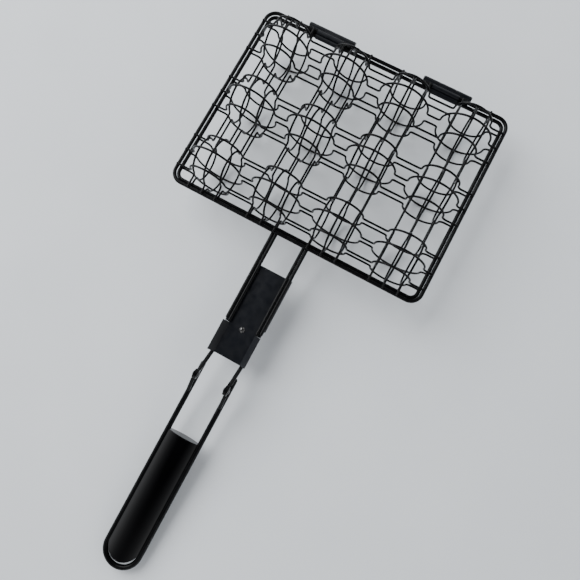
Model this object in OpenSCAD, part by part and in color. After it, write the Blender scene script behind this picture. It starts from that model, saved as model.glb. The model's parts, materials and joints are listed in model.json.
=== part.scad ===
// Hinged wire grill basket with twelve round food pockets and a fold-over handle.
// Millimetres, +Z up. The origin is the centre of the closed basket, midway between its two
// rim frames. +Y points to the hinges, -Y along the handle.

/* [Basket] */
// Outside length of the upper rim frame, along X
basket_length = 290; // [280:1:300]
// Outside width of the upper rim frame, along Y
basket_width = 223; // [216:1:230]
// Outside radius of the upper rim frame's corners
corner_radius = 14; // [12:0.5:18]
// Thickness of the rim wire
rim_wire = 4; // [3.6:0.1:4]
// Thickness of the mesh wire
mesh_wire = 2.2; // [1.8:0.1:2.2]
// How far the lower rim frame sits inside the upper one, on each side
frame_inset = 3.95; // [3.95:0.05:4.2]
// Height of each rim frame's centre line above or below the parting plane
frame_level = 1.1; // [1.1:0.05:1.2]

/* [Pockets] */
// Distance between pocket centres along X
pitch_x = 70; // [68:0.5:71]
// Distance between pocket centres along Y
pitch_y = 75; // [73:0.5:76]
// Radius of a pocket, to the centre line of its cross wires
pocket_radius = 27.4; // [26:0.1:28]
// Height of a pocket's centre above or below the parting plane
dome_level = 9.5; // [9:0.25:10]
// Height of the mesh wires between pockets, above or below the parting plane
mesh_level = 6.75; // [6:0.25:7.5]
// Distance from a pocket's middle cross wire to its side cross wires
cross_offset = 18.25; // [17:0.25:20]
// Distance from a pocket's middle long wire to its side long wires
long_offset = 15.9; // [15.8:0.1:17]
// How far past a rim wire's centre line the mesh wires end
end_overhang = 0.8; // [0.4:0.1:1.2]

/* [Hinges] */
// Distance from the basket's centre line to each hinge's centre
hinge_offset = 69; // [68.5:0.1:70]
// Length of a hinge barrel
hinge_length = 54; // [48:1:60]
// Radius of a hinge pin
hinge_pin_radius = 2; // [1.5:0.1:2]
// Thickness of the hinge sheet
hinge_sheet = 0.6; // [0.5:0.05:0.6]
// Distance from the upper rim wire's centre line to the hinge axis
hinge_reach = 5.65; // [5.6:0.05:7]
// Width of the tab that each leaf curls round its rim wire
hinge_tab = 31; // [20:1:31]

/* [Rails and bracket] */
// Slope of the rails and handle down from the parting plane, in degrees
handle_drop = 4.33; // [0:0.1:4.4]
// Thickness of the rail wire
rail_wire = 3.6; // [3.2:0.1:3.6]
// Half the distance between the two lower rails
rail_offset = 16.05; // [15.5:0.05:16.5]
// Length of the upper rails from the rim
upper_rail_length = 100.9; // [90:0.1:101]
// Length of the lower rails from the rim
lower_rail_length = 102.7; // [95:0.1:103]
// Thickness of the bracket sheet
bracket_sheet = 1.2; // [1:0.1:1.4]
// Distance from the rim to the bracket's basket end
bracket_start = 36.6; // [30:0.1:45]
// Distance from the rim to the bracket's handle end
bracket_end = 137; // [130:0.1:140]
// Half the bracket's outside width over its down-turned edges
bracket_half_width = 21.9; // [21.5:0.1:23]
// Depth of the bracket's down-turned edges
skirt_depth = 4.5; // [3:0.1:6]
// Height of the bracket's flared wings above its web
wing_height = 6.4; // [4:0.1:7]
// Angle of the wings above the web, in degrees
wing_angle = 47; // [40:1:60]

/* [Folding joint] */
// Distance from the rim to the folding pivot, along the handle
pivot_distance = 163; // [160:0.5:166]
// Height of the folding pivot above the rails
pivot_height = 14; // [13:0.5:16]
// Thickness of the yoke wire
yoke_wire = 4.2; // [3.8:0.1:4.2]
// Radius of the pivot rivets
pivot_rivet_radius = 2; // [1.5:0.1:2.2]
// Radius of the flattened eyes round the pivot
eye_radius = 5; // [4:0.5:5]

/* [Handle] */
// Thickness of the handle loop wire
loop_wire = 5.5; // [5:0.1:5.6]
// Half the distance between the loop's two wires
loop_offset = 18.45; // [18.3:0.05:18.8]
// Distance from the rim to the far end of the loop
loop_end = 371; // [365:1:380]
// Distance from the rim to the start of the grip
grip_start = 225.5; // [215:0.5:240]
// Radius of the grip's round end
grip_end_radius = 17; // [16.5:0.1:20]
// Distance from the rim to the end of the grip
grip_end = 360.8; // [355:0.1:362]
// Thickness of the grip at its crown
grip_thickness = 14; // [12:0.5:15]
// Thickness of the grip at its edges
grip_edge = 6.4; // [5.5:0.1:7]

/* [Hidden] */
$fn = 48;
wire_gap = 0.05;
running_gap = 0.05;
moving_gap = 0.1;
pocket_columns = [-1.5, -0.5, 0.5, 1.5];
pocket_rows = [-1, 0, 1];
half_x = basket_length / 2 - rim_wire / 2;
half_y = basket_width / 2 - rim_wire / 2;
frame_corner = corner_radius - rim_wire / 2;
border_level = frame_level + rim_wire / 2 + mesh_wire / 2 + wire_gap;
long_radius = pocket_radius - mesh_wire - wire_gap;
hinge_y = half_y + hinge_reach;
barrel_bore = hinge_pin_radius + running_gap;
barrel_radius = barrel_bore + hinge_sheet;
knuckle_length = hinge_length / 3;
knuckle_gap = 0.2;
curl_radius = rim_wire / 2 + wire_gap + hinge_sheet;
curl_mouth = 38;
leaf_level = curl_radius - frame_level + hinge_sheet / 2 + moving_gap;
leaf_overlap = 0.6;
pin_overhang = 1;
pin_head = 0.8;
pin_head_radius = barrel_radius - 0.3;
rail_level = frame_level - rim_wire / 2 - wire_gap - rail_wire / 2;
upper_rail_offset = rail_offset + rail_wire + wire_gap;
web_top = -rail_wire / 2 - wire_gap;
web_bottom = web_top - bracket_sheet;
skirt_end = 95.7;
wing_start = 103;
wing_slit = 0.1;
seat_half_width = 20.7;
wing_root = 15.15;
fold_lap = 0.2;
bracket_rivet_u = 104.3;
bracket_rivet_radius = 1.95;
bracket_head_radius = 3.2;
bracket_head_height = 1.6;
bracket_tail_radius = 3;
bracket_tail_height = 1;
strap_top = web_bottom - wire_gap;
strap_width = 16;
strap_end = bracket_rivet_u - 4.5;
yoke_bar_u = 111.5;
yoke_corner = 6;
yoke_bend = 10;
yoke_level = web_bottom - yoke_wire / 2 - wire_gap;
yoke_offset = 17.3;
yoke_rise_u = 134;
rise_run = pivot_distance - yoke_rise_u;
rise_up = pivot_height - yoke_level - yoke_bend;
rise_angle = atan2(rise_up, rise_run) + asin(yoke_bend / norm([rise_run, rise_up]));
rise_length = (rise_run - yoke_bend * sin(rise_angle)) / cos(rise_angle);
elbow_reach = yoke_bend * tan(rise_angle / 2);
elbow_u = yoke_rise_u + elbow_reach;
elbow_length = rise_length + elbow_reach;
elbow_diameter = yoke_wire + 0.3;
neck_radius = eye_radius + 2;
neck_flat = 0.5;
eye_thickness = 2;
pivot_head_radius = 3.4;
pivot_head_height = 1.4;
eye_cut = 0.15;
arm_eye_x = yoke_offset - yoke_wire / 2 + eye_cut;
ear_eye_x = arm_eye_x + eye_thickness + moving_gap;
ear_wire = 3.8;
ear_foot_u = 181.5;
ear_foot_w = loop_wire / 2 + ear_wire / 2 + wire_gap;
ear_run = ear_foot_u - pivot_distance;
ear_fall = pivot_height - ear_foot_w;
ear_angle = atan2(ear_fall, ear_run);
ear_length = norm([ear_run, ear_fall]);
stop_height = yoke_wire / 2 + loop_wire / 2 + moving_gap;
stop_u = pivot_distance - (pivot_height - stop_height / cos(rise_angle)) / tan(rise_angle);
loop_bend_u = loop_end - loop_wire / 2 - loop_offset;
grip_lip = 0.6;
grip_half_width = loop_offset - loop_wire / 2 + grip_lip;
grip_crown_radius = (pow(grip_half_width, 2) + pow((grip_thickness - grip_edge) / 2, 2))
    / (grip_thickness - grip_edge);
nonstick = [0.09, 0.10, 0.11];
sheet_black = [0.10, 0.11, 0.14];
gloss_black = [0.03, 0.03, 0.035];

// ---- Shared shapes ----

// A round wire along +X
module rod_x(d, length) rotate([0, 90, 0]) cylinder(d = d, h = length);

// A round wire along -Y, which is outward along the handle
module rod_out(d, length) rotate([90, 0, 0]) cylinder(d = d, h = length);

// An arc of round wire in the XY plane
module wire_arc(r, d, from, sweep)
    rotate([0, 0, from]) rotate_extrude(angle = sweep) translate([r, 0]) circle(d = d);

// The handle's own frame: -Y runs out along the rails, Z is square to them
module on_handle() translate([0, -half_y, rail_level]) rotate([handle_drop, 0, 0]) children();

// A closed rectangular wire frame, sized to its centre line
module rim_frame(hx, hy, r) {
    for (side = [-1, 1]) {
        translate([-(hx - r), side * hy, 0]) rod_x(rim_wire, 2 * (hx - r));
        translate([side * hx, hy - r, 0]) rod_out(rim_wire, 2 * (hy - r));
    }
    for (quarter = [0:3]) {
        sx = quarter == 0 || quarter == 3 ? 1 : -1;
        sy = quarter < 2 ? 1 : -1;
        translate([sx * (hx - r), sy * (hy - r), 0]) wire_arc(r, rim_wire, 90 * quarter, 90);
    }
}

// Bend radius that brings a wire from upright, at the pocket's centre, down to a flat
function foot_radius(level) = dome_level - level;

// One dome of mesh wire in the XZ plane, with a foot at each side coming down to its own level
module wire_dome(r, left, right) rotate([90, 0, 0]) {
    translate([0, dome_level, 0]) wire_arc(r, mesh_wire, 0, 180);
    translate([r + foot_radius(right), dome_level, 0])
        wire_arc(foot_radius(right), mesh_wire, 180, 90);
    translate([-r - foot_radius(left), dome_level, 0])
        wire_arc(foot_radius(left), mesh_wire, 270, 90);
}

// A mesh wire along X: domes at the given centres, flats between them and out over the rims
module mesh_wire_run(centres, half_length, r) {
    count = len(centres);
    for (i = [0:count]) {
        level = i == 0 || i == count ? border_level : mesh_level;
        from = i == 0 ? -half_length : centres[i - 1] + r + foot_radius(level);
        to = i == count ? half_length : centres[i] - r - foot_radius(level);
        translate([from, 0, level]) rod_x(mesh_wire, to - from);
    }
    for (i = [0:count - 1]) translate([centres[i], 0, 0])
        wire_dome(r, i == 0 ? border_level : mesh_level, i == count - 1 ? border_level : mesh_level);
}

// Radius of the wire that crosses a pocket beside its centre, to a hundredth of a millimetre
function side_radius(radius, offset) = round(100 * sqrt(pow(radius, 2) - pow(offset, 2))) / 100;

// Cross wires run along X. inset shortens them to a smaller rim
module cross_wires(offsets, inset) {
    centres = [for (c = pocket_columns) c * pitch_x];
    for (row = pocket_rows, offset = offsets)
        translate([0, row * pitch_y + offset, 0])
            mesh_wire_run(centres, half_x - inset + end_overhang,
                side_radius(pocket_radius, offset));
}

// Long wires run along Y, inside the cross wires
module long_wires(offsets, inset) {
    centres = [for (row = pocket_rows) row * pitch_y];
    for (column = pocket_columns, offset = offsets)
        translate([column * pitch_x + offset, 0, 0]) rotate([0, 0, 90])
            mesh_wire_run(centres, half_y - inset + end_overhang,
                side_radius(long_radius, offset));
}

// The lower half's mesh is the upper half's, turned over about X
module turned_down() rotate([180, 0, 0]) children();

// ---- Rim frames, mesh and rails ----

module upper_frame() color(nonstick)
    translate([0, 0, frame_level]) rim_frame(half_x, half_y, frame_corner);

module lower_frame() color(nonstick)
    translate([0, 0, -frame_level])
        rim_frame(half_x - frame_inset, half_y - frame_inset, frame_corner - frame_inset);

module upper_cross_wires_middle() color(nonstick) cross_wires([0], 0);

module upper_cross_wires_side() color(nonstick) cross_wires([-cross_offset, cross_offset], 0);

module upper_long_wires_middle() color(nonstick) long_wires([0], 0);

module upper_long_wires_side() color(nonstick) long_wires([-long_offset, long_offset], 0);

module lower_cross_wires_middle() color(nonstick) turned_down() cross_wires([0], frame_inset);

module lower_cross_wires_side() color(nonstick)
    turned_down() cross_wires([-cross_offset, cross_offset], frame_inset);

module lower_long_wires_middle() color(nonstick) turned_down() long_wires([0], frame_inset);

module lower_long_wires_side() color(nonstick)
    turned_down() long_wires([-long_offset, long_offset], frame_inset);

// A pair of rails with round tips
module rail_pair(offset, from, to) on_handle()
    for (side = [-1, 1]) translate([side * offset, 0, 0]) {
        translate([0, -from, 0]) rod_out(rail_wire, to - from - rail_wire / 2);
        translate([0, -to + rail_wire / 2, 0]) sphere(d = rail_wire);
    }

module upper_rails() color(nonstick)
    rail_pair(upper_rail_offset, -rim_wire / 2, upper_rail_length);

module lower_rails() color(nonstick)
    rail_pair(rail_offset, -frame_inset + rim_wire / 2 + moving_gap, lower_rail_length);

// ---- Hinges ----

// One knuckle centred on the hinge axis
module knuckle(length) translate([-length / 2, 0, 0]) difference() {
    rod_x(2 * barrel_radius, length);
    translate([-1, 0, 0]) rod_x(2 * barrel_bore, length + 2);
}

// The tab that curls round a rim wire, centred on that wire. Its mouth faces the other rim
module wire_curl(mouth) translate([-hinge_tab / 2, 0, 0]) difference() {
    rod_x(2 * curl_radius, hinge_tab);
    translate([-1, 0, 0]) rod_x(rim_wire + 2 * wire_gap, hinge_tab + 2);
    reach = 2 * curl_radius;
    translate([-1, 0, 0]) rotate([mouth, 0, 0]) rotate([90, 0, 90]) linear_extrude(height = hinge_tab + 2)
        polygon([[0, 0], [reach, -reach * tan(curl_mouth)], [reach, reach * tan(curl_mouth)]]);
}

// Flat sheet from y = from to y = to, centred on x = 0 and z = 0
module leaf_sheet(from, width, to) translate([-width / 2, from, -hinge_sheet / 2])
    cube([width, to - from, hinge_sheet]);

// half is 1 for the upper leaf and -1 for the lower one
module hinge_leaf(side, wire_y, half, knuckles, knuckle_width) translate([side * hinge_offset, 0, 0]) {
    leaf_rise = leaf_level - frame_level;
    curl_edge = wire_y + sqrt(pow(curl_radius - hinge_sheet / 2, 2) - pow(leaf_rise, 2));
    barrel_edge = hinge_y - sqrt(pow(barrel_radius + knuckle_gap, 2) - pow(leaf_level - hinge_sheet / 2, 2));
    to_other_rim = atan2(-2 * frame_level * half, -frame_inset * half);
    translate([0, wire_y, half * frame_level]) wire_curl(to_other_rim);
    translate([0, 0, half * leaf_level]) {
        leaf_sheet(curl_edge, hinge_tab, barrel_edge);
        leaf_sheet(wire_y + rim_wire / 2 + wire_gap, hinge_length - knuckle_gap, barrel_edge);
    }
    for (k = knuckles) translate([k * knuckle_length, 0, 0]) {
        translate([0, hinge_y, 0]) knuckle(knuckle_width);
        difference() {
            translate([0, 0, half * leaf_level])
                leaf_sheet(barrel_edge - leaf_overlap, knuckle_width, hinge_y - hinge_pin_radius / 2);
            translate([-hinge_length, hinge_y, 0]) rod_x(2 * barrel_bore, 2 * hinge_length);
        }
    }
}

module upper_leaf(side) hinge_leaf(side, half_y, 1, [0], knuckle_length - 2 * knuckle_gap);

module lower_leaf(side)
    hinge_leaf(side, half_y - frame_inset, -1, [-1, 1], knuckle_length - knuckle_gap);

module upper_hinge_leaf_left() color(sheet_black) upper_leaf(-1);

module upper_hinge_leaf_right() color(sheet_black) upper_leaf(1);

module lower_hinge_leaf_left() color(sheet_black) lower_leaf(-1);

module lower_hinge_leaf_right() color(sheet_black) lower_leaf(1);

// A plain pin with a low head at each end of the barrel
module hinge_pin(side) translate([side * hinge_offset - hinge_length / 2 - pin_overhang, hinge_y, 0]) {
    rod_x(2 * hinge_pin_radius, hinge_length + 2 * pin_overhang);
    for (x = [0, hinge_length + 2 * pin_overhang - pin_head])
        translate([x, 0, 0]) rod_x(2 * pin_head_radius, pin_head);
}

module hinge_pin_left() color(nonstick) hinge_pin(-1);

module hinge_pin_right() color(nonstick) hinge_pin(1);

// ---- Bracket between the rails ----

// One side of the winged section: web, fold and wing, drawn in the plane across the handle
module wing_half_profile() {
    half_sheet = bracket_sheet / 2;
    wing_length = (wing_height + half_sheet * (1 - cos(wing_angle))) / sin(wing_angle);
    translate([0, web_bottom]) square([wing_root + fold_lap, bracket_sheet]);
    translate([wing_root, web_bottom + half_sheet]) rotate(wing_angle)
        translate([-half_sheet / 2, -half_sheet])
            square([wing_length + half_sheet / 2, bracket_sheet]);
}

// A slice of the handle frame's cross-section, extruded outward from one distance to another
module along_handle(from, to)
    translate([0, -from, 0]) rotate([90, 0, 0]) linear_extrude(height = to - from) children();

module handle_bracket() color(sheet_black) on_handle() difference() {
    union() {
        along_handle(bracket_start, skirt_end) {
            translate([-bracket_half_width, web_bottom])
                square([2 * bracket_half_width, bracket_sheet]);
            for (x = [-bracket_half_width, bracket_half_width - bracket_sheet])
                translate([x, web_bottom - skirt_depth])
                    square([bracket_sheet, skirt_depth + bracket_sheet / 2]);
        }
        along_handle(skirt_end - 1, wing_start - wing_slit)
            translate([-seat_half_width, web_bottom]) square([2 * seat_half_width, bracket_sheet]);
        along_handle(wing_start - 1, wing_start + 1)
            translate([-wing_root, web_bottom]) square([2 * wing_root, bracket_sheet]);
        along_handle(wing_start, bracket_end) {
            wing_half_profile();
            mirror([1, 0]) wing_half_profile();
        }
    }
    translate([0, -bracket_rivet_u, web_bottom - 1])
        cylinder(r = bracket_rivet_radius + running_gap, h = bracket_sheet + 2);
}

// Low domed head, drawn upward from its seat
module rivet_head(r, height) {
    dome = (r * r + height * height) / (2 * height);
    intersection() {
        translate([0, 0, height - dome]) sphere(r = dome);
        cylinder(r = 2 * r, h = height + 1);
    }
}

module bracket_rivet() color(nonstick) on_handle() translate([0, -bracket_rivet_u, 0]) {
    shank_bottom = strap_top - bracket_sheet - wire_gap;
    translate([0, 0, shank_bottom]) cylinder(r = bracket_rivet_radius, h = web_top - shank_bottom);
    translate([0, 0, web_top]) rivet_head(bracket_head_radius, bracket_head_height);
    translate([0, 0, shank_bottom - bracket_tail_height])
        cylinder(r = bracket_tail_radius, h = bracket_tail_height);
}

// ---- Folding joint ----

// Runs children on both sides of the handle
module both_sides() {
    children();
    mirror([1, 0, 0]) children();
}

// A flattened eye on the folding axis, from x to x + eye_thickness, with a neck at an angle
module pivot_eye(x, neck_angle, neck_height) translate([x, -pivot_distance, pivot_height]) {
    rotate([0, 90, 0]) cylinder(r = eye_radius, h = eye_thickness);
    rotate([neck_angle, 0, 0]) translate([0, 0, -neck_height / 2])
        cube([eye_thickness, neck_radius + 2, neck_height]);
}

module pivot_hole() translate([0, -pivot_distance, pivot_height]) rotate([0, 90, 0])
    cylinder(r = pivot_rivet_radius + running_gap, h = 2 * loop_offset);

// The yoke: a bar under the bracket whose two arms climb to the folding pivot
module joint_yoke() color(nonstick) on_handle() difference() {
    union() {
        translate([-yoke_offset + yoke_corner, -yoke_bar_u, yoke_level])
            rod_x(yoke_wire, 2 * (yoke_offset - yoke_corner));
        both_sides() {
            translate([yoke_offset - yoke_corner, -yoke_bar_u - yoke_corner, yoke_level])
                wire_arc(yoke_corner, yoke_wire, 0, 90);
            translate([yoke_offset, -yoke_bar_u - yoke_corner, yoke_level])
                rod_out(yoke_wire, elbow_u - yoke_bar_u - yoke_corner);
            translate([yoke_offset, -elbow_u, yoke_level]) sphere(d = elbow_diameter);
            translate([yoke_offset, -pivot_distance, pivot_height]) rotate([-rise_angle, 0, 0])
                translate([0, elbow_length, 0]) rod_out(yoke_wire, elbow_length - neck_radius);
            pivot_eye(arm_eye_x, -rise_angle, yoke_wire - neck_flat);
        }
    }
    both_sides() pivot_hole();
}

// The strap that the bracket rivet pulls up against the yoke's bar
module yoke_strap() color(sheet_black) on_handle() difference() {
    saddle = yoke_wire / 2 + wire_gap;
    bar_edge = yoke_bar_u - saddle - bracket_sheet / 2;
    union() {
        translate([-strap_width / 2, -bar_edge, strap_top - bracket_sheet])
            cube([strap_width, bar_edge - strap_end, bracket_sheet]);
        translate([-strap_width / 2, -yoke_bar_u, yoke_level]) intersection() {
            rod_x(2 * (saddle + bracket_sheet), strap_width);
            translate([-1, -strap_width, yoke_wire / 2 - 2 * strap_width])
                cube([strap_width + 2, 2 * strap_width, 2 * strap_width]);
        }
    }
    translate([-strap_width, -yoke_bar_u, yoke_level]) {
        rod_x(2 * saddle, 2 * strap_width);
        translate([0, -saddle, 0]) cube([2 * strap_width, 2 * saddle, 4 * saddle]);
    }
    translate([0, -bracket_rivet_u, strap_top - bracket_sheet - 1])
        cylinder(r = bracket_rivet_radius + running_gap, h = bracket_sheet + 2);
}

// A rivet on the folding axis, through the arm's eye and the ear's eye
module pivot_rivet() translate([0, -pivot_distance, pivot_height]) rotate([0, 90, 0]) {
    inner = arm_eye_x - wire_gap;
    outer = ear_eye_x + eye_thickness + moving_gap;
    translate([0, 0, inner]) cylinder(r = pivot_rivet_radius, h = outer - inner);
    translate([0, 0, outer]) rivet_head(pivot_head_radius, pivot_head_height);
    translate([0, 0, inner]) mirror([0, 0, 1]) rivet_head(pivot_head_radius, pivot_head_height);
}

module pivot_rivet_right() color(nonstick) on_handle() pivot_rivet();

module pivot_rivet_left() color(nonstick) on_handle() mirror([1, 0, 0]) pivot_rivet();

// ---- Folding handle ----

// The loop's centre-line wire, from its stop tips to its round end
module loop_path(d) {
    both_sides() {
        translate([loop_offset, -stop_u, 0]) sphere(d = d);
        translate([loop_offset, -stop_u, 0]) rod_out(d, loop_bend_u - stop_u);
    }
    translate([0, -loop_bend_u, 0]) wire_arc(loop_offset, d, 180, 180);
}

module handle_loop() color(nonstick) on_handle() loop_path(loop_wire);

// An ear stands on the loop wire and carries it on the folding pivot
module pivot_ear() difference() {
    union() {
        pivot_eye(ear_eye_x, 180 + ear_angle, ear_wire - neck_flat);
        translate([loop_offset, -pivot_distance, pivot_height]) rotate([ear_angle, 0, 0]) {
            translate([0, -neck_radius, 0]) rod_out(ear_wire, ear_length - neck_radius);
            translate([0, -ear_length, 0]) sphere(d = ear_wire);
        }
    }
    pivot_hole();
}

module pivot_ear_right() color(nonstick) on_handle() pivot_ear();

module pivot_ear_left() color(nonstick) on_handle() mirror([1, 0, 0]) pivot_ear();

// The grip: crowned both ways, with a groove in its edge that the loop wire lies in. It stops
// short of the loop's round end, which leaves a narrow slot
module grip() color(gloss_black) on_handle() difference() {
    round_u = grip_end - grip_end_radius;
    intersection() {
        along_handle(grip_start, grip_end + 1) intersection() {
            translate([0, grip_thickness / 2 - grip_crown_radius])
                circle(r = grip_crown_radius, $fn = 200);
            translate([0, grip_crown_radius - grip_thickness / 2])
                circle(r = grip_crown_radius, $fn = 200);
            translate([-grip_half_width, -grip_thickness])
                square([2 * grip_half_width, 2 * grip_thickness]);
        }
        union() {
            translate([-2 * grip_half_width, -round_u, -grip_thickness])
                cube([4 * grip_half_width, round_u - grip_start + 1, 2 * grip_thickness]);
            translate([0, -round_u, -grip_thickness])
                cylinder(r = grip_end_radius, h = 2 * grip_thickness);
        }
    }
    loop_path(loop_wire + 2 * wire_gap);
}

lower_frame();
lower_cross_wires_middle();
lower_cross_wires_side();
lower_long_wires_middle();
lower_long_wires_side();
lower_rails();
lower_hinge_leaf_left();
lower_hinge_leaf_right();
hinge_pin_left();
hinge_pin_right();
handle_bracket();
bracket_rivet();
joint_yoke();
yoke_strap();
pivot_rivet_left();
pivot_rivet_right();
upper_frame();
upper_cross_wires_middle();
upper_cross_wires_side();
upper_long_wires_middle();
upper_long_wires_side();
upper_rails();
upper_hinge_leaf_left();
upper_hinge_leaf_right();
handle_loop();
pivot_ear_left();
pivot_ear_right();
grip();
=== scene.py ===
"""Hinged wire grill basket with a fold-over handle.

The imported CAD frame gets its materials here, with the welds and rounded sheet edges that the CAD
leaves out, and a pale floor, soft light and a camera.
"""
import json
import math
import random

import bpy
import bmesh
from mathutils import Matrix, Vector


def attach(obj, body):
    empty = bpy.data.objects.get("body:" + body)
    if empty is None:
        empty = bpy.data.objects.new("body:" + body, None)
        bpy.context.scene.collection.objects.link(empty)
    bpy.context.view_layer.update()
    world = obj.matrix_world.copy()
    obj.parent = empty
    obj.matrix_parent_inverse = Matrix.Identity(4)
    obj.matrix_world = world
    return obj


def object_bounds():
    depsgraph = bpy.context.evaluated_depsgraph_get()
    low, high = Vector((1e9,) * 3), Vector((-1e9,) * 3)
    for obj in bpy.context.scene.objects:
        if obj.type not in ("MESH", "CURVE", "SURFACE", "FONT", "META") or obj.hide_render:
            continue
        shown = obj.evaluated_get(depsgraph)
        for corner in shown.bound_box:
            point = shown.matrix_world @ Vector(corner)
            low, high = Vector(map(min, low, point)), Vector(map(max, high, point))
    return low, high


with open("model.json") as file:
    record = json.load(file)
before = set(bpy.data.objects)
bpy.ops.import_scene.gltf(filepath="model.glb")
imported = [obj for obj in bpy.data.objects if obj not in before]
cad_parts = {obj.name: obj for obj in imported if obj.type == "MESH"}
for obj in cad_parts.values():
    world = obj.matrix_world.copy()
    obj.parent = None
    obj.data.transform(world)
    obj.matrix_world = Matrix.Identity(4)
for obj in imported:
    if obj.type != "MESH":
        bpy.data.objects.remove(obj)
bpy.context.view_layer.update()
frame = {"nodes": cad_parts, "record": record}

MM = 0.001
RECORD = frame["record"]


# ---------------------------------------------------------------- materials

def node_material(name):
    material = bpy.data.materials.new(name)
    material.use_nodes = True
    tree = material.node_tree
    return material, tree, tree.nodes["Principled BSDF"]


def add(tree, kind, **values):
    node = tree.nodes.new(kind)
    for key, value in values.items():
        setattr(node, key, value)
    return node


def noise(tree, scale, detail=3.0, roughness=0.5):
    """Object-space noise. scale is in features per metre."""
    coordinates = add(tree, "ShaderNodeTexCoord").outputs["Object"]
    texture = add(tree, "ShaderNodeTexNoise")
    texture.inputs["Scale"].default_value = scale
    texture.inputs["Detail"].default_value = detail
    texture.inputs["Roughness"].default_value = roughness
    tree.links.new(coordinates, texture.inputs["Vector"])
    return texture.outputs["Fac"]


def ramp(tree, source, stops):
    node = add(tree, "ShaderNodeValToRGB")
    elements = node.color_ramp.elements
    while len(elements) < len(stops):
        elements.new(0.5)
    for element, (position, colour) in zip(elements, stops):
        element.position = position
        element.color = (*colour, 1.0)
    tree.links.new(source, node.inputs["Fac"])
    return node.outputs["Color"]


def spread(tree, source, low, high, out_low, out_high):
    node = add(tree, "ShaderNodeMapRange")
    node.inputs["From Min"].default_value = low
    node.inputs["From Max"].default_value = high
    node.inputs["To Min"].default_value = out_low
    node.inputs["To Max"].default_value = out_high
    tree.links.new(source, node.inputs["Value"])
    return node.outputs["Result"]


def bump(tree, shader, height, strength, distance):
    node = add(tree, "ShaderNodeBump")
    node.inputs["Strength"].default_value = strength
    node.inputs["Distance"].default_value = distance
    tree.links.new(height, node.inputs["Height"])
    tree.links.new(node.outputs["Normal"], shader.inputs["Normal"])


WORN_LIFT = 3.2  # how much lighter the worn specks are than the coating


def coated_metal(name, dark, light, rough, gloss, grain=900.0, grain_depth=0.00004):
    """Baked-on black coating: mottled colour, uneven gloss and a fine orange-peel surface."""
    material, tree, shader = node_material(name)
    patch = noise(tree, 60.0, 4.0)
    speck = noise(tree, 2200.0, 2.0, 0.7)
    base = ramp(tree, patch, [(0.35, dark), (0.65, light)])
    worn = tuple(WORN_LIFT * c for c in light)
    mix = add(tree, "ShaderNodeMix", data_type="RGBA")
    tree.links.new(spread(tree, speck, 0.66, 0.78, 0.0, 0.55), mix.inputs["Factor"])
    tree.links.new(base, mix.inputs["A"])
    mix.inputs["B"].default_value = (*worn, 1.0)
    tree.links.new(mix.outputs["Result"], shader.inputs["Base Color"])
    uneven = spread(tree, noise(tree, 140.0, 3.0), 0.3, 0.7, rough - 0.06, rough + 0.08)
    tree.links.new(uneven, shader.inputs["Roughness"])
    shader.inputs["Specular IOR Level"].default_value = gloss
    bump(tree, shader, noise(tree, grain, 2.0, 0.6), 0.35, grain_depth)
    return material


def worn_metal(name):
    """Coated rivet or pin, rubbed through to dull steel in patches."""
    material, tree, shader = node_material(name)
    patch = noise(tree, 700.0, 4.0, 0.6)
    colours = ramp(tree, patch, [(0.42, (0.014, 0.015, 0.017)), (0.66, (0.16, 0.155, 0.15))])
    tree.links.new(colours, shader.inputs["Base Color"])
    tree.links.new(spread(tree, patch, 0.3, 0.7, 0.36, 0.24), shader.inputs["Roughness"])
    shader.inputs["Metallic"].default_value = 0.75
    bump(tree, shader, noise(tree, 1500.0, 2.0), 0.3, 0.00004)
    return material


def gloss_plastic(name):
    """Moulded gloss black: near-mirror coat over a faintly wavy skin with hairline wear."""
    material, tree, shader = node_material(name)
    tree.links.new(ramp(tree, noise(tree, 30.0, 3.0),
                        [(0.3, (0.0006, 0.0006, 0.0007)), (0.7, (0.0010, 0.0010, 0.0012))]),
                   shader.inputs["Base Color"])
    tree.links.new(spread(tree, noise(tree, 220.0, 5.0, 0.65), 0.35, 0.75, 0.07, 0.12),
                   shader.inputs["Roughness"])
    shader.inputs["Specular IOR Level"].default_value = 0.3
    shader.inputs["Coat Weight"].default_value = 0.12
    shader.inputs["Coat Roughness"].default_value = 0.04
    bump(tree, shader, noise(tree, 45.0, 2.0), 0.10, 0.0004)
    return material


def pale_floor(name):
    material, tree, shader = node_material(name)
    tint = ramp(tree, noise(tree, 9.0, 4.0),
                [(0.3, (0.745, 0.772, 0.795)), (0.7, (0.775, 0.802, 0.825))])
    tree.links.new(tint, shader.inputs["Base Color"])
    shader.inputs["Roughness"].default_value = 0.9
    shader.inputs["Specular IOR Level"].default_value = 0.15
    bump(tree, shader, noise(tree, 500.0, 2.0), 0.15, 0.0002)
    return material


LOOKS = {
    "coated_wire": coated_metal("coated_wire", (0.0014, 0.0015, 0.0018),
                                (0.0026, 0.0027, 0.0031), 0.25, 0.13),
    "coated_sheet": coated_metal("coated_sheet", (0.0018, 0.0026, 0.0046),
                                 (0.0026, 0.0036, 0.0060), 0.38, 0.28,
                                 grain=1500.0, grain_depth=0.00003),
    "fasteners": worn_metal("fasteners"),
    "grip": gloss_plastic("grip"),
}


def wear(obj, look):
    obj.data.materials.clear()
    obj.data.materials.append(LOOKS[look])


for part in RECORD["subparts"]:
    node = frame["nodes"][part["node"]]
    wear(node, part["material_slot"])
    for polygon in node.data.polygons:
        polygon.material_index = 0

# ---------------------------------------------------------------- rounded edges

# Width of each rounded edge, in mm
EDGE_ROUND = {"handle_bracket": 0.2, "yoke_strap": 0.25, "grip": 0.9}


def round_edges(obj, width):
    """Sharp sheet and moulding edges turned to small radii, which catch the light."""
    bevel = obj.modifiers.new("edge_round", "BEVEL")
    bevel.width = width * MM
    bevel.segments = 3
    bevel.limit_method = "ANGLE"
    bevel.angle_limit = math.radians(40.0)


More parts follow.
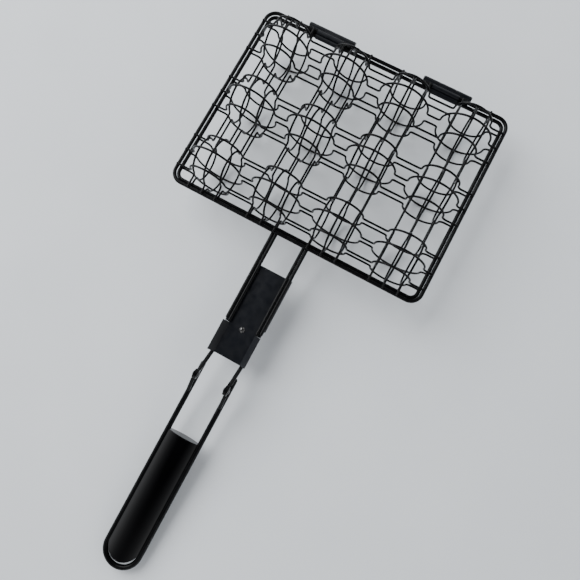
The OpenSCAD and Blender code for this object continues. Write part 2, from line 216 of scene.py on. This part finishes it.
for name, width in EDGE_ROUND.items():
    round_edges(frame["nodes"][name], width)

# ---------------------------------------------------------------- welds

# Sizes of the CAD part, in mm, that the welds are placed by
PITCH_X, PITCH_Y = 70.0, 75.0
COLUMNS, ROWS = (-1.5, -0.5, 0.5, 1.5), (-1, 0, 1)
CROSS_OFFSETS, LONG_OFFSETS = (-18.25, 0.0, 18.25), (-15.9, 0.0, 15.9)
MESH_WIRE, RIM_WIRE, RAIL_WIRE = 2.2, 4.0, 3.6
CROSS_RADIUS, DOME_LEVEL = 27.4, 9.5
WIRE_GAP = 0.05
LONG_RADIUS = CROSS_RADIUS - MESH_WIRE - WIRE_GAP
RIM_LEVEL, RIM_INSET = 1.1, 3.95
RIM_X, RIM_Y = 143.0, 109.5
RAILS_LOWER, RAILS_UPPER = 16.05, 19.7
HANDLE_DROP = math.radians(4.33)
RAIL_LEVEL = RIM_LEVEL - RIM_WIRE / 2 - WIRE_GAP - RAIL_WIRE / 2
LOOP_OFFSET = 18.45

# Half sizes of the beads along their wire, across it and through their thickness, in mm
POCKET_BEAD = (1.35, 1.35, 0.95)
RIM_BEAD = (1.5, 1.45, 0.75)
RAIL_BEAD = (2.4, 2.0, 1.0)
BRACKET_BEAD = (2.6, 1.0, 0.8)
EAR_BEAD = (4.2, 2.0, 1.3)
BRACKET_SPOTS = (44.0, 66.0, 88.0)


def on_handle(x, out, up):
    """A point of the handle frame, in mm: out runs away from the basket, up is square to it."""
    return Vector((x, -RIM_Y - out * math.cos(HANDLE_DROP) - up * math.sin(HANDLE_DROP),
                   RAIL_LEVEL - out * math.sin(HANDLE_DROP) + up * math.cos(HANDLE_DROP)))


HANDLE_OUT = on_handle(0, 1, 0) - on_handle(0, 0, 0)
HANDLE_UP = on_handle(0, 0, 1) - on_handle(0, 0, 0)


def add_bead(mesh, place, along, normal, radii, dice):
    """One lumpy weld bead. along is its long direction; normal is its flat direction."""
    along = Vector(along).normalized()
    normal = Vector(normal)
    normal = (normal - along * normal.dot(along)).normalized()
    across = normal.cross(along)
    made = bmesh.ops.create_icosphere(mesh, subdivisions=2, radius=1.0)["verts"]
    phase = [dice.uniform(0.0, 6.28) for _ in range(3)]
    for vert in made:
        x, y, z = vert.co
        lump = 1.0 + 0.07 * math.sin(3.1 * x + phase[0]) + 0.07 * math.sin(3.7 * y + phase[1]) \
            + 0.05 * math.sin(4.3 * z + phase[2])
        reach = along * x * radii[0] + across * y * radii[1] + normal * z * radii[2]
        vert.co = (place + reach * lump) * MM


def bead_piece(name, beads, body):
    """beads: (place, along, normal, radii) in mm. All of them become one coated piece on a body."""
    dice = random.Random(name)
    mesh = bmesh.new()
    for bead in beads:
        add_bead(mesh, *bead, dice)
    for face in mesh.faces:
        face.smooth = True
    data = bpy.data.meshes.new(name)
    mesh.to_mesh(data)
    mesh.free()
    obj = bpy.data.objects.new(name, data)
    bpy.context.scene.collection.objects.link(obj)
    wear(obj, "coated_wire")
    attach(obj, body)


def pocket_beads(half):
    """half is 1 for the lid's mesh and -1 for the base's: a weld wherever two wires cross."""
    middle = (CROSS_RADIUS + LONG_RADIUS) / 2
    beads = []
    for column in COLUMNS:
        for row in ROWS:
            centre = Vector((column * PITCH_X, row * PITCH_Y, DOME_LEVEL * half))
            for cross in CROSS_OFFSETS:
                for long_ in LONG_OFFSETS:
                    out_x, out_y = long_ / LONG_RADIUS, cross / CROSS_RADIUS
                    out_z = half * math.sqrt(1.0 - out_x ** 2 - out_y ** 2)
                    out = Vector((out_x, out_y, out_z))
                    beads.append((centre + out * middle, Vector((1.0, 1.0, 0.0)), out, POCKET_BEAD))
    return beads


def rim_beads(half):
    """Welds where the mesh wires lie on a rim frame."""
    inset = 0.0 if half > 0 else RIM_INSET
    level = half * (RIM_LEVEL + RIM_WIRE / 2 + 0.1)
    up = Vector((0.0, 0.0, 1.0))
    beads = []
    for side in (-1, 1):
        for row in ROWS:
            for cross in CROSS_OFFSETS:
                place = Vector((side * (RIM_X - inset), row * PITCH_Y + cross, level))
                beads.append((place, Vector((1.0, 0.0, 0.0)), up, RIM_BEAD))
        for column in COLUMNS:
            for long_ in LONG_OFFSETS:
                place = Vector((column * PITCH_X + long_, side * (RIM_Y - inset), level))
                beads.append((place, Vector((0.0, 1.0, 0.0)), up, RIM_BEAD))
    return beads


def rail_beads(offset, start):
    """Welds that hold a pair of rails to their rim."""
    up = Vector((0.0, 0.0, 1.0))
    return [(on_handle(side * offset, start, RAIL_WIRE / 2 - 0.3), HANDLE_OUT, up, RAIL_BEAD)
            for side in (-1, 1)]


def bracket_beads():
    """Spot welds along the lower rails, where they lie on the bracket."""
    return [(on_handle(side * (RAILS_LOWER - 1.3), place, -RAIL_WIRE / 2 + 0.35),
             HANDLE_OUT, HANDLE_UP, BRACKET_BEAD)
            for side in (-1, 1) for place in BRACKET_SPOTS]


def ear_beads():
    """Welds where each ear's foot stands on the loop wire."""
    return [(on_handle(side * LOOP_OFFSET, 180.6, 3.0), HANDLE_OUT, HANDLE_UP, EAR_BEAD)
            for side in (-1, 1)]


bead_piece("pocket_welds_upper", pocket_beads(1), "lid")
bead_piece("pocket_welds_lower", pocket_beads(-1), "base")
bead_piece("rim_welds_upper", rim_beads(1), "lid")
bead_piece("rim_welds_lower", rim_beads(-1), "base")
bead_piece("rail_welds_upper", rail_beads(RAILS_UPPER, -0.6), "lid")
bead_piece("rail_welds_lower", rail_beads(RAILS_LOWER, -1.6), "base")
bead_piece("bracket_welds", bracket_beads(), "base")
bead_piece("ear_welds", ear_beads(), "handle")

# ---------------------------------------------------------------- floor, light and camera

FLOOR_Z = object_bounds()[0][2]
FLOOR_SIZE = 8.0


def floor():
    mesh = bpy.data.meshes.new("floor")
    half = FLOOR_SIZE / 2
    corners = [(x, y, FLOOR_Z)
               for x, y in ((-half, -half), (half, -half), (half, half), (-half, half))]
    mesh.from_pydata(corners, [], [(0, 1, 2, 3)])
    obj = bpy.data.objects.new("floor", mesh)
    bpy.context.scene.collection.objects.link(obj)
    obj.data.materials.append(pale_floor("pale_floor"))


floor()


def area_light(name, place, target, size, power, colour):
    data = bpy.data.lights.new(name, "AREA")
    data.shape = "RECTANGLE"
    data.size, data.size_y = size
    data.energy = power
    data.color = colour
    obj = bpy.data.objects.new(name, data)
    bpy.context.scene.collection.objects.link(obj)
    obj.location = place
    aim = Vector(target) - Vector(place)
    obj.rotation_euler = aim.to_track_quat("-Z", "Y").to_euler()


area_light("window", (-2.10, 0.50, 1.85), (0.0, -0.15, 0.0), (2.6, 2.4), 118.0, (0.97, 0.985, 1.0))


def studio_world():
    """Soft surround, bright near the horizon and dark overhead, so that flat tops stay black."""
    world = bpy.data.worlds.new("studio")
    world.use_nodes = True
    tree = world.node_tree
    split = add(tree, "ShaderNodeSeparateXYZ")
    tree.links.new(add(tree, "ShaderNodeTexCoord").outputs["Generated"], split.inputs["Vector"])
    sky = ramp(tree, split.outputs["Z"], [
        (0.0, (0.93, 0.945, 0.97)), (0.5, (0.86, 0.875, 0.90)),
        (0.76, (0.22, 0.225, 0.235)), (0.90, (0.014, 0.014, 0.016))])
    tree.links.new(sky, tree.nodes["Background"].inputs["Color"])
    tree.nodes["Background"].inputs["Strength"].default_value = 1.55
    bpy.context.scene.world = world


studio_world()

EYE = Vector((0.0789, -0.2232, 0.5254))
AIM = Vector((0.02545, -0.15548, 0.0))
ROLL = math.radians(-9.905)
LENS_PER_WIDTH = 528.0 / 580.0
SENSOR_WIDTH = 36.0
HALF_PIXEL = 0.5 / 580.0


def photo_camera():
    data = bpy.data.cameras.new("camera")
    data.sensor_fit = "HORIZONTAL"
    data.sensor_width = SENSOR_WIDTH
    data.lens = LENS_PER_WIDTH * SENSOR_WIDTH
    data.clip_start = 0.01
    data.shift_x = -HALF_PIXEL
    data.shift_y = HALF_PIXEL
    camera = bpy.data.objects.new("camera", data)
    bpy.context.scene.collection.objects.link(camera)
    forward = (AIM - EYE).normalized()
    level = forward.cross(Vector((0.0, 0.0, 1.0))).normalized()
    upright = level.cross(forward)
    right = level * math.cos(ROLL) + upright * math.sin(ROLL)
    up = right.cross(forward)
    turn = Matrix((right, up, -forward)).transposed().to_4x4()
    camera.matrix_world = Matrix.Translation(EYE) @ turn
    bpy.context.scene.camera = camera


photo_camera()
